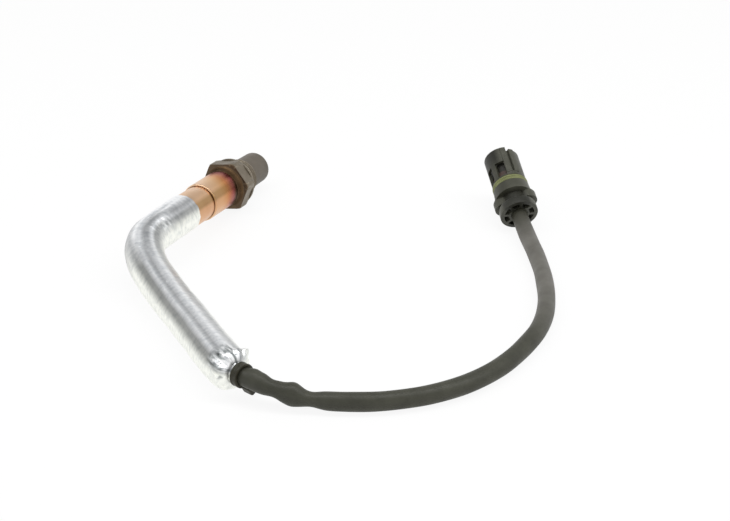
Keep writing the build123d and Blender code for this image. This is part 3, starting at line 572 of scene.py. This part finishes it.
def hexagon_reach(turn, apothem, corner):
    """Distance from the axis to a hexagon's side at each turn, with rounded corners: apothem /
    cos(angle from the side's middle), or the corner's arc, whose centre lies (apothem - corner) /
    cos(30 degrees) out and whose far side is at c * cos(a) + sqrt(corner^2 - c^2 * sin(a)^2)."""
    sixth = CIRCLE / 6
    off_corner = np.abs((turn + sixth / 2) % sixth - sixth / 2)
    flat = apothem / np.cos(sixth / 2 - off_corner)
    centre = (apothem - corner) / math.cos(sixth / 2)
    inside = corner ** 2 - (centre * np.sin(off_corner)) ** 2
    arc = centre * np.cos(off_corner) + np.sqrt(np.maximum(inside, 0))
    tangent = corner * math.tan(sixth / 2)
    limit = math.atan2(tangent * math.sin(sixth), apothem / math.cos(sixth / 2) - tangent * math.cos(sixth))
    return np.where(off_corner < limit, arc, flat)


shell_rear = -7.5
spigot_radius = 8.35
boss_rear = -3.5
hexagon_thickness = 7.0
collar_radius = 11.6
collar_front = 8.2
thread_radius = 9.0
nose_front = 17.0
tube_radius = 8.9
tube_bore = 8.4
rear_tube_radius = 8.2


def make_sensor_shell():
    """Hexagon, collar, thread and boss in one skin.  For each turn the hexagon's chamfer meets its
    side where the cone's height (reach - land) * tan(30 degrees) says, so the curved edge of the
    chamfer is a row of the grid.  The thread's radius falls by its depth times a rounded V of
    (distance / pitch - turn).  The boss swells towards the hexagon in a weld's fillet."""
    apothem, corner, land = 11.0, 0.5, 12.0
    relief_radius, relief_front, start, end = 8.2, 9.9, 10.3, 16.9
    pitch, depth = 1.5, 0.85
    within = 30 * np.linspace(0, 1, 13)[:-1] ** 1.7
    sixth = np.concatenate([within, 60 - within[:0:-1]])
    turn = np.radians(np.add.outer(np.arange(6) * 60, sixth).ravel())
    reach = hexagon_reach(turn, apothem, corner)
    chamfer = np.maximum(reach - land, 0) * math.tan(math.radians(30))
    low = np.minimum(reach, land)
    every = np.ones_like(turn)
    body = [
        (shell_rear, spigot_radius), (boss_rear, spigot_radius), (boss_rear, 8.98), (-2.0, 9.05), (-0.7, 9.4),
        (0.0, 10.2), (0.0, low), (chamfer, reach), (hexagon_thickness - chamfer, reach),
        (hexagon_thickness, low), (hexagon_thickness, collar_radius), (collar_front, collar_radius),
        (collar_front, relief_radius), (relief_front, relief_radius),
    ]
    body = np.array([[distance * every, radius * every] for distance, radius in body]).swapaxes(1, 2)
    body = rounded(body, 0.22, closed=False)
    distance = np.linspace(start, end, 64)[:, None] * every
    wave = 0.5 - 0.5 * np.cos(CIRCLE * distance / pitch - turn)
    fade = ease(distance, start, start + 1.2) * (1 - ease(distance, end - 1.0, end))
    crest = thread_radius - 0.75 * ease(distance, end - 0.7, end)
    crest = crest - 0.7 * (1 - ease(distance, start, start + 0.5))
    thread = np.stack([distance, crest - depth * fade * wave ** 0.8], axis=-1)
    bore = [
        (nose_front, 8.0), (nose_front, 6.05), (13.0, 6.05), (13.0, 4.6), (6.0, 4.6), (6.0, 6.4),
        (shell_rear, 6.4),
    ]
    outline = np.concatenate([body, thread, np.array(bore)[:, None] * every[:, None]])
    points = polar(sensor, outline[..., 0], outline[..., 1], turn)
    piece = skin("sensor_body", points, outline[..., 0], turn, sharp=50)
    return dress(piece, "sensor_shell")


def make_gasket():
    """Crushed ring of folded metal: a turned outline with a groove round its outer edge."""
    rear, front, bore, edge, fold, groove = 8.22, 9.88, 8.35, 10.6, 10.9, 10.55
    outline = [
        (rear, bore), (rear, edge), (8.7, fold), (9.05, groove), (9.4, fold), (front, edge), (front, bore),
    ]
    return dress(turned("gasket", sensor, outline, 0.45), "gasket_ring")


def make_cap():
    """Push-on cap: a slightly tapered turned shell with a shallow flat dimple in its rounded
    end."""
    mouth, bore = nose_front + 0.1, 6.45
    end, dimple = 32.4, 32.1
    outline = [
        (mouth, bore), (mouth, 7.85), (18.3, 7.83), (end, 7.6), (end, 5.4), (dimple, 5.0), (dimple, 0.0),
    ]
    cuts = np.array([0.3, 0.35, 0.5, 1.9, 0.3, 0.3, 0.0])[:, None]
    outer = rounded(outline, cuts, steps=8, closed=False)
    profile = np.concatenate([outer, [(end - 1.5, 0.0), (end - 1.5, 6.35)]])
    return dress(revolved("cap", sensor, profile), "protective_cap")


def make_front_sleeve():
    """Thin tube pressed onto the boss.  Its rear edge is rolled in over the rear sleeve, with a
    bead on the upper right whose height fades by smooth steps on both sides."""
    front = boss_rear - 0.05
    turn = even_turns(TURNED_SIDES)
    degrees = np.degrees(turn)
    bead = 0.04 + 0.18 * ease(degrees, 60, 95) * (1 - ease(degrees, 165, 195))
    outline = [
        (front, tube_bore), (front, tube_radius), (-23.9, tube_radius), (-24.3, tube_radius + bead),
        (-25.2, tube_radius - 0.27 + 2 * bead), (-25.5, 8.35), (-24.6, 8.3), (-24.1, tube_bore),
    ]
    outline = np.array([[distance + 0 * turn, radius + 0 * turn] for distance, radius in outline])
    outline = rounded(outline.swapaxes(1, 2), 0.5)
    points = polar(sensor, outline[..., 0], outline[..., 1], turn)
    return dress(skin("front_tube", points, outline[..., 0], turn), "front_sleeve")


def make_rear_sleeve():
    """Thin tube with two pressed-in crimps near its rear end, under the foil."""
    front, rear, wall = -20.0, -48.0, 0.5
    full, pressed = rear_tube_radius, rear_tube_radius - 0.35
    outer = [(front, full)]
    for crimp in (-39.4, -44.4):
        outer += [(crimp, full), (crimp - 0.5, pressed), (crimp - 1.7, pressed), (crimp - 2.2, full)]
    outer += [(rear, full)]
    inner = [(distance, radius - wall) for distance, radius in reversed(outer)]
    return dress(turned("rear_tube", sensor, outer + inner, 0.3), "rear_sleeve")


# ---------------------------------------------------------------- heat sleeve and its tie

sleeve_turns = [
    (-24.0, 5.2, 16.4), (-21.9, -8.7, 12.6), (-9.9, -30.7, 9.3), (2.6, -53.7, 9.0), (15.2, -80.1, 9.8),
]
sleeve_radius = 8.75
sleeve_wall = 0.4
waist_radius = 4.42
waist_ends = (-2.6, 1.4)


def sleeve_line():
    """Middle line of the heat sleeve, from its mouth round the metal sleeve to the far side of the
    tie, and its length."""
    control = [along(sensor, -40.0), along(sensor, -47.3), along(sensor, -54.7)]
    control += [np.array(point) for point in sleeve_turns]
    control += [along(tie, -7.0), *(along(tie, end) for end in waist_ends)]
    line = bend(control)
    return line, run_length(line)[-1]


def make_heat_sleeve():
    """Foil-faced cloth tube.  Its radius is the tube's, less a valley and two flat flanks that
    drift round it beyond the bend, less faint crumples of three sizes.  At the gathered end the
    radius closes like a quarter of a superellipse, and pleats, a warped wave round the section,
    grow and fade with it.  Three ears, each a bell along the sleeve times a bell round it, stand
    out beside the waist.  The mouth's edge wavers along the axis."""
    columns, straight_rows, gather_rows, inner_count = 160, 330, 110, 70
    gather, roundness = 16, 2.6
    dents = ((0.04, 0.13, 0.35), (0.62, 0.22, 0.35), (-0.70, 0.25, 0.30))
    ears = ((-0.95, 0.34, 1.5), (0.35, 0.28, 0.5), (1.75, 0.40, 0.5))
    line, total = sleeve_line()
    waist = total - (waist_ends[1] - waist_ends[0])
    straight = np.linspace(0, waist - gather, straight_rows)[:-1]
    places = np.concatenate([straight, np.linspace(waist - gather, total, gather_rows)])
    turn = even_turns(columns)
    rows = len(places)
    place = places[:, None]
    before = waist - place
    drifted = turn - 0.226 * ease(place, 26.0, 90.0)
    free = 0.25 + 0.75 * ease(place, 2.0, 14.0)
    dent = sum(deep * bell(turn_from(drifted, middle), width) for middle, width, deep in dents)
    coarse = crumple(rows, columns, 40, 20, 1)
    cross = crumple(rows, columns, 6, 30, 2)
    fine = crumple(rows, columns, 6, 7, 3)
    creases = 0.05 * coarse - 0.035 * np.abs(cross) - 0.012 * np.abs(fine)
    close = 4.2 + 6.5 * (0.5 - 0.5 * np.cos(turn - 0.35)) ** 1.5
    shut = 1 - (1 - np.clip(before / close, 0, 1)) ** roundness
    shut = np.maximum(shut, 0) ** (1 / roundness)
    open_radius = sleeve_radius - 0.12 - free * dent + free * creases
    radius = waist_radius + (open_radius - waist_radius) * shut
    warp = 9 * turn + 0.8 * np.sin(2 * turn + 1.0) + 0.7 * np.sin(3 * turn + 2.3) + 0.35 * np.sin(before / 3)
    pleats = np.abs(np.sin(warp / 2)) ** 0.85 - 0.68
    swell = ease(before, 13.0, 4.0) * (0.10 + 0.90 * ease(before, 0.0, 1.2))
    depth = (0.15 + 1.25 * ease(before, 6.5, 2.2)) * swell * (0.8 + 0.45 * np.cos(turn - 0.2))
    radius = radius + depth * pleats
    ear = bell(before - 3.4, 1.9)
    for middle, width, height in ears:
        radius = radius + height * ear * bell(turn_from(turn, middle), width)
    ragged = 0.10 * crumple(1, columns, 1, 12, 5)[0]
    shift = (ragged * (1 - ease(place, 0, 1.2)))[..., None] * sensor[1][2]
    middle_line = spaced(line, places)
    outer = around(middle_line, radius, turn) + shift
    inner_rows = np.linspace(0, rows - 1, inner_count).astype(int)[::-1]
    inner = around(middle_line, radius - sleeve_wall, turn) + shift
    points = np.concatenate([outer, inner[inner_rows]])
    run = np.concatenate([places, places[inner_rows]])
    piece = skin("foil_sleeve", points, run, turn, sharp=75)
    return dress(piece, "heat_sleeve")


def make_tie():
    """Strap: a turned band with a rail along each edge and a lip that turns in at the front."""
    rear, front, bore, face, rail = -1.8, 1.45, 4.5, 4.8, 4.98
    outline = [
        (rear, bore), (rear, face + 0.1), (-1.15, rail), (-0.85, face), (0.6, face), (0.85, rail),
        (front, face + 0.1), (front, bore - 0.6), (front - 0.25, bore - 0.6), (front - 0.35, bore),
    ]
    return dress(turned("tie_strap", tie, outline), "cable_tie")


def block(name, place, low, high):
    """Softly cornered box: a sphere of directions u, each moved out to where
    |x|^p + |y|^p + |z|^p = 1, and stretched to the box's sides."""
    power, count = 7.0, 28
    across = np.linspace(0, math.pi, count)[:, None]
    turn = even_turns(2 * count)
    parts = [np.sin(across) * np.cos(turn), np.sin(across) * np.sin(turn), np.cos(across) + 0 * turn]
    unit = np.stack(parts, axis=-1)
    unit = unit / (np.abs(unit) ** power).sum(axis=-1, keepdims=True) ** (1 / power)
    low, high = np.array(low), np.array(high)
    local = (low + high) / 2 + unit * (high - low) / 2
    points = place[0] + local @ place[1]
    return skin(name, points, local[:, 0, 2], turn, along=False, sharp=60)


def make_tie_head():
    """Head below the strap, and the strap's short cut end beside it."""
    head = block("tie_head", tie, (-2.55, -8.6, -1.65), (2.55, -4.85, 3.85))
    tail = block("tie_tail", tie, (2.0, -7.15, -1.7), (4.15, -6.45, 1.7))
    for piece in (head, tail):
        piece.data.materials.append(tie_plastic)
        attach(piece, "root")


# ---------------------------------------------------------------- cable

cable_diameter = 7.7
cable_route = [
    (0.020651, -0.089419, 0.009906),
    (0.031049, -0.098781, 0.010394),
    (0.0461, -0.1016, 0.0046),
    (0.0636, -0.1034, 0.0039),
    (0.0836, -0.1024, 0.0039),
    (0.1036, -0.0961, 0.0039),
    (0.1214, -0.0838, 0.0039),
    (0.1350, -0.0666, 0.0039),
    (0.1459, -0.0463, 0.0039),
    (0.1505, -0.0218, 0.0039),
    (0.1503, 0.0068, 0.0039),
    (0.146057, 0.037811, 0.004517),
    (0.142775, 0.054086, 0.011208),
]


def route_line(points):
    """Points read from the NURBS spline that has the route's points as its control points."""
    curve = bpy.data.curves.new("route", "CURVE")
    curve.dimensions = "3D"
    curve.resolution_u = 40
    spline = curve.splines.new("NURBS")
    spline.points.add(len(points) - 1)
    spline.points.foreach_set("co", np.hstack([points, np.ones((len(points), 1))]).ravel())
    spline.order_u = 3
    spline.use_endpoint_u = True
    carrier = bpy.data.objects.new("route", curve)
    bpy.context.scene.collection.objects.link(carrier)
    mesh = bpy.data.meshes.new_from_object(carrier)
    line = np.empty(len(mesh.vertices) * 3)
    mesh.vertices.foreach_get("co", line)
    bpy.data.objects.remove(carrier)
    return line.reshape(-1, 3)


def make_cable():
    """Rubber cable: a tube round the route whose radius swells and dips in soft lumps just after
    the tie, each a bell along the cable times a bell round it, and wanders slightly all along."""
    rows, columns, floor_gap = 520, 48, 0.03
    line = route_line(cable_route)
    total = run_length(line)[-1] / METRE
    places = np.linspace(0, total, rows)
    turn = even_turns(columns)
    radius = cable_diameter / 2 - 0.05 + 0.05 * crumple(rows, columns, 60, 40, 11)
    above, below = -0.5, 2.65
    lumps = (
        (12.0, 2.4, above, 1.2, 0.75), (15.6, 1.8, above, 1.2, 0.35), (19.4, 2.0, above, 1.3, -0.35),
        (28.3, 3.6, above, 1.2, 1.45), (35.6, 4.0, above, 1.4, -0.75), (22.0, 3.4, below, 1.2, -0.95),
        (28.8, 2.2, below, 1.2, 0.30), (36.0, 4.0, below, 1.3, -0.95),
    )
    for where, width, side, spread, height in lumps:
        radius = radius + height * bell(places[:, None] - where, width) * bell(turn_from(turn, side), spread)
    points = around(spaced(line / METRE, places), radius, turn)
    points[..., 2] = np.maximum(points[..., 2], floor_gap)
    first, last = points[:1].mean(axis=1, keepdims=True), points[-1:].mean(axis=1, keepdims=True)
    points = np.concatenate([first + 0 * points[:1], points, last + 0 * points[-1:]])
    places = np.concatenate([places[:1], places, places[-1:]])
    piece = skin("cable_jacket", points, places, turn, along=False, sharp=60)
    dress(piece, "cable")
    return piece, line, total * METRE


# ---------------------------------------------------------------- plug

wing_turns = (68.0, -110.0)
window_turns = (-31.0, -82.0)
key_turns = (-5.0, 20.0)
slot_turn = 7.5
notch_turn = 42.0


def off_turn(turn, middle):
    """Signed angle of each turn from a middle; the angle and the middle are in degrees."""
    return np.degrees(turn_from(turn, math.radians(middle)))


def half_angle(width, radius):
    """Half of the angle, in degrees, that a width takes at a radius."""
    return math.degrees(math.asin(width / 2 / radius))


def edge_turns(edges, soft, step):
    """Turns of a grid that closes round, in radians, with close ones across each edge.  The edges,
    soft and step are in degrees."""
    edges = (np.array(edges) + 180) % 360 - 180
    return np.radians(stations(edges, soft, -180, 180, step)[:-1])


def make_housing():
    """Moulded plug body as a wall between two grids of distance and turn.  Outside, its radius is
    stepped by smooth steps: neck, tapered collar, two round wings that fade into it, the seal's
    groove, and a barrel with two key ribs and a slot.  A wing is a circle off the axis: its radius
    at an angle is c * cos(a) + sqrt(r^2 - c^2 * sin(a)^2).  The windows and the notch in the rim
    are open cells."""
    neck, neck_bore, groove, barrel, socket = 6.05, 4.9, 7.4, 8.15, 6.75
    rear, wing_rear, wing_front, bore_end, collar_end, barrel_rear = -4.15, -3.9, 0.3, 3.0, 6.2, 9.0
    window_rear, key_rear, slot_rear, window_front = 9.8, 10.8, 11.6, 18.2
    notch_rear, key_front, rim_start, rim = 24.9, 26.0, 26.3, 27.0
    lobe, lobe_centre, wing_half = 4.5, 5.65, 45.1
    window = half_angle(4.4, barrel)
    key = half_angle(2.7, barrel)
    slot_half = half_angle(1.2, barrel)
    notch = half_angle(9.4, barrel)
    soft, soft_turn = 0.16, 0.8
    steps = [wing_rear, wing_front, collar_end, barrel_rear, window_rear, key_rear, slot_rear, window_front]
    rows = stations(steps + [notch_rear, rim_start], soft, rear, rim, 0.7)
    edges = [slot_turn - slot_half, slot_turn + slot_half, notch_turn - notch, notch_turn + notch]
    for middles, half in ((window_turns, window), (key_turns, key), (wing_turns, wing_half)):
        for middle in middles:
            edges += [middle - half, middle + half]
    turn = edge_turns(edges, soft_turn, 3.0)
    distance, angle = np.meshgrid(rows, turn, indexing="ij")

    def beyond(edge):
        return ease(distance, edge - soft, edge + soft)

    collar = 8.95 - (distance - wing_front) * 0.5 / (collar_end - wing_front)
    radius = neck + (collar - neck) * beyond(wing_front)
    standing = beyond(wing_rear) * (1 - ease(distance, 0.1, 1.7))
    for middle in wing_turns:
        off = np.radians(off_turn(angle, middle))
        across = lobe ** 2 - (lobe_centre * np.sin(off)) ** 2
        reach = lobe_centre * np.cos(off) + np.sqrt(np.maximum(across, 0))
        wing = np.where(np.abs(off) < 0.9, np.maximum(reach, radius), radius)
        radius = radius + (wing - radius) * standing
    radius = radius + (groove - radius) * beyond(collar_end)
    radius = radius + (barrel - radius) * beyond(barrel_rear)
    radius = radius - 0.65 * ease(distance, rim_start, rim) ** 1.5
    for middle in key_turns:
        off = np.abs(off_turn(angle, middle))
        height = (1 - ease(off, key - soft_turn, key + soft_turn)) * beyond(key_rear)
        radius = radius + 0.5 * height * (1 - ease(distance, key_front, key_front + 0.6))
    off = np.abs(off_turn(angle, slot_turn))
    sunk = (1 - ease(off, slot_half - soft_turn, slot_half + soft_turn)) * beyond(slot_rear)
    radius = radius + (barrel - 0.8 - radius) * sunk
    inside = np.where(distance > bore_end, socket, neck_bore)
    middle_distance = (rows[1:] + rows[:-1])[:, None] / 2
    middle_turn = (turn + np.append(turn[1:], turn[0] + CIRCLE)) / 2
    solid = np.ones((len(rows) - 1, len(turn)), bool)
    between = (middle_distance > window_rear) & (middle_distance < window_front)
    for middle in window_turns:
        solid &= ~(between & (np.abs(off_turn(middle_turn, middle)) < window))
    solid &= ~((middle_distance > notch_rear) & (np.abs(off_turn(middle_turn, notch_turn)) < notch))
    outer = polar(plug, distance, radius, angle)
    inner = polar(plug, distance, inside, angle)
    piece = walled("plug_housing", outer, inner, solid, rows, turn, sharp=45)
    return dress(piece, "connector_housing")


def make_ring_seal():
    """Rubber ring with two rounded ribs: a turned outline whose outer edge is two half waves."""
    rear, front, bore, valley, rib = 6.25, 8.95, 7.45, 8.12, 0.38
    across = np.linspace(0, 1, 25)
    ribs = valley + rib * np.abs(np.sin(across * CIRCLE)) ** 0.8
    outer = np.column_stack([rear + across * (front - rear), ribs])
    outline = np.concatenate([outer, [(front, bore), (rear, bore)]])
    return dress(revolved("seal_ring", plug, outline), "ring_seal")


def make_rear_cap():
    """Rear cap: a disc round the cable, with a low neck in front.  Its rear face has a ring of
    pockets, each as deep as the product of a smooth step in the radius and one in the distance
    from a rib's middle says."""
    rear, front, neck_front = -9.4, -4.2, -1.5
    outer, hole, neck, shoulder = 8.9, 3.9, 4.85, 6.4
    count, rib, rib_turn, depth = 8, 0.75, 7.2, 4.2
    inner_edge, outer_edge, soft = 5.0, 6.95, 0.14
    reach = stations([inner_edge, outer_edge], soft, hole, outer - 0.5, 0.6)
    half = 180 / count
    rib_turns = np.arange(count) * 360 / count
    turn = edge_turns(np.concatenate([rib_turns - rib_turn, rib_turns + rib_turn]), 1.6, 4.0)
    radius, angle = np.meshgrid(reach, turn, indexing="ij")
    off = np.abs((np.degrees(angle) + half) % (2 * half) - half)
    off_rib = np.radians(off) * radius
    pocket = ease(radius, inner_edge - soft, inner_edge + soft)
    pocket = pocket * (1 - ease(radius, outer_edge - soft, outer_edge + soft))
    pocket = pocket * ease(off_rib, rib - 0.1, rib + 0.15)
    face = np.stack([rear + depth * pocket, radius], axis=-1)
    edge = [
        (rear, outer - 0.5), (rear, outer), (front - 0.9, outer), (front - 0.8, shoulder),
        (front, shoulder - 0.2), (front, neck), (neck_front, neck), (neck_front, hole),
    ]
    cuts = np.array([0, 0.5, 0.9, 0.2, 0.1, 0.1, 0.1, 0])[:, None]
    edge = rounded(edge, cuts, closed=False)[1:, None] + 0 * turn[:, None]
    outline = np.concatenate([face, edge])
    points = polar(plug, outline[..., 0], outline[..., 1], turn)
    piece = skin("plug_rear_cap", points, outline[..., 0], turn, sharp=50)
    return dress(piece, "rear_cap")


make_sensor_shell()
make_gasket()
make_cap()
make_front_sleeve()
make_rear_sleeve()
make_heat_sleeve()
make_tie()
make_tie_head()
cable_piece, cable_line, cable_length = make_cable()
housing = make_housing()
ring = make_ring_seal()
rear_cap = make_rear_cap()


# ---------------------------------------------------------------- floor, lights and camera

def white_to_eye(tree, strength):
    """This strength for camera, glossy and transmission rays, and 0 for all others, so that the
    background is white to the eye and metal shows it."""
    path = add(tree, "ShaderNodeLightPath").outputs
    seen = maths(tree, "MAXIMUM", path["Is Camera Ray"], path["Is Glossy Ray"])
    seen = maths(tree, "MAXIMUM", seen, path["Is Transmission Ray"])
    return maths(tree, "MULTIPLY", seen, strength)


def make_floor():
    """Pale floor: a disc just under the pieces that is white to the eye, and keeps a faint
    shadow."""
    sides, radius, centre, drop = 64, 3, 0.06, 0.0002
    turn = even_turns(sides)
    rim = np.column_stack([radius * np.cos(turn) + centre, radius * np.sin(turn), 0 * turn - drop])
    mesh = bpy.data.meshes.new("floor")
    mesh.from_pydata(rim.tolist(), [], [list(range(sides))])
    floor = bpy.data.objects.new("floor", mesh)
    bpy.context.scene.collection.objects.link(floor)
    material = bpy.data.materials.new("floor")
    material.use_nodes = True
    tree = material.node_tree
    tree.nodes.remove(tree.nodes["Principled BSDF"])
    plain = add(tree, "ShaderNodeBsdfDiffuse", {"Color": (0.9, 0.9, 0.9, 1)}).outputs[0]
    white = add(tree, "ShaderNodeEmission", {"Color": WHITE, "Strength": 1.0}).outputs[0]
    mix = add(tree, "ShaderNodeMixShader", {0: white_to_eye(tree, 0.9), 1: plain, 2: white}).outputs[0]
    tree.links.new(mix, tree.nodes["Material Output"].inputs["Surface"])
    mesh.materials.append(material)


def make_world():
    """World: white near the horizon and grey overhead to the eye and to metal, plain grey light to
    everything else."""
    world = bpy.data.worlds.new("studio")
    bpy.context.scene.world = world
    world.use_nodes = True
    tree = world.node_tree
    direction = add(tree, "ShaderNodeTexCoord").outputs["Generated"]
    height = add(tree, "ShaderNodeSeparateXYZ", {"Vector": direction}).outputs["Z"]
    dome = ramp(tree, height, ((0.30, WHITE), (0.62, (0.42, 0.43, 0.44, 1))))
    shade = mixed(tree, white_to_eye(tree, 1.0), (0.55, 0.55, 0.55, 1), dome)
    tree.links.new(shade, tree.nodes["Background"].inputs["Color"])


def soft_light(name, place, target, power):
    """Long soft rectangular light that faces a target."""
    light = bpy.data.lights.new(name, "AREA")
    light.shape = "RECTANGLE"
    light.size, light.size_y = 0.25, 0.9
    light.energy = power
    lamp = bpy.data.objects.new(name, light)
    lamp.location = place
    ahead = np.array(target) - np.array(place)
    lamp.rotation_euler = (math.acos(-ahead[2] / np.linalg.norm(ahead)), 0,
                           math.atan2(ahead[1], ahead[0]) - math.pi / 2)
    bpy.context.scene.collection.objects.link(lamp)


def make_camera():
    """Camera at the front, looking 28 degrees down."""
    camera = bpy.data.cameras.new("camera")
    camera.sensor_width = 36
    camera.lens = 74.1
    view = bpy.data.objects.new("camera", camera)
    view.location = (0.07336, -0.57773, 0.3195)
    view.rotation_euler = (math.radians(61.762), 0, math.radians(0.072))
    bpy.context.scene.collection.objects.link(view)
    bpy.context.scene.camera = view


make_floor()
make_world()
soft_light("key_light", (-0.25, -0.05, 0.75), (0.04, -0.02, 0), 2.6)
soft_light("fill_light", (0.45, -0.10, 0.70), (0.06, 0, 0), 3.0)
make_camera()
bpy.context.scene.view_settings.view_transform = "Standard"
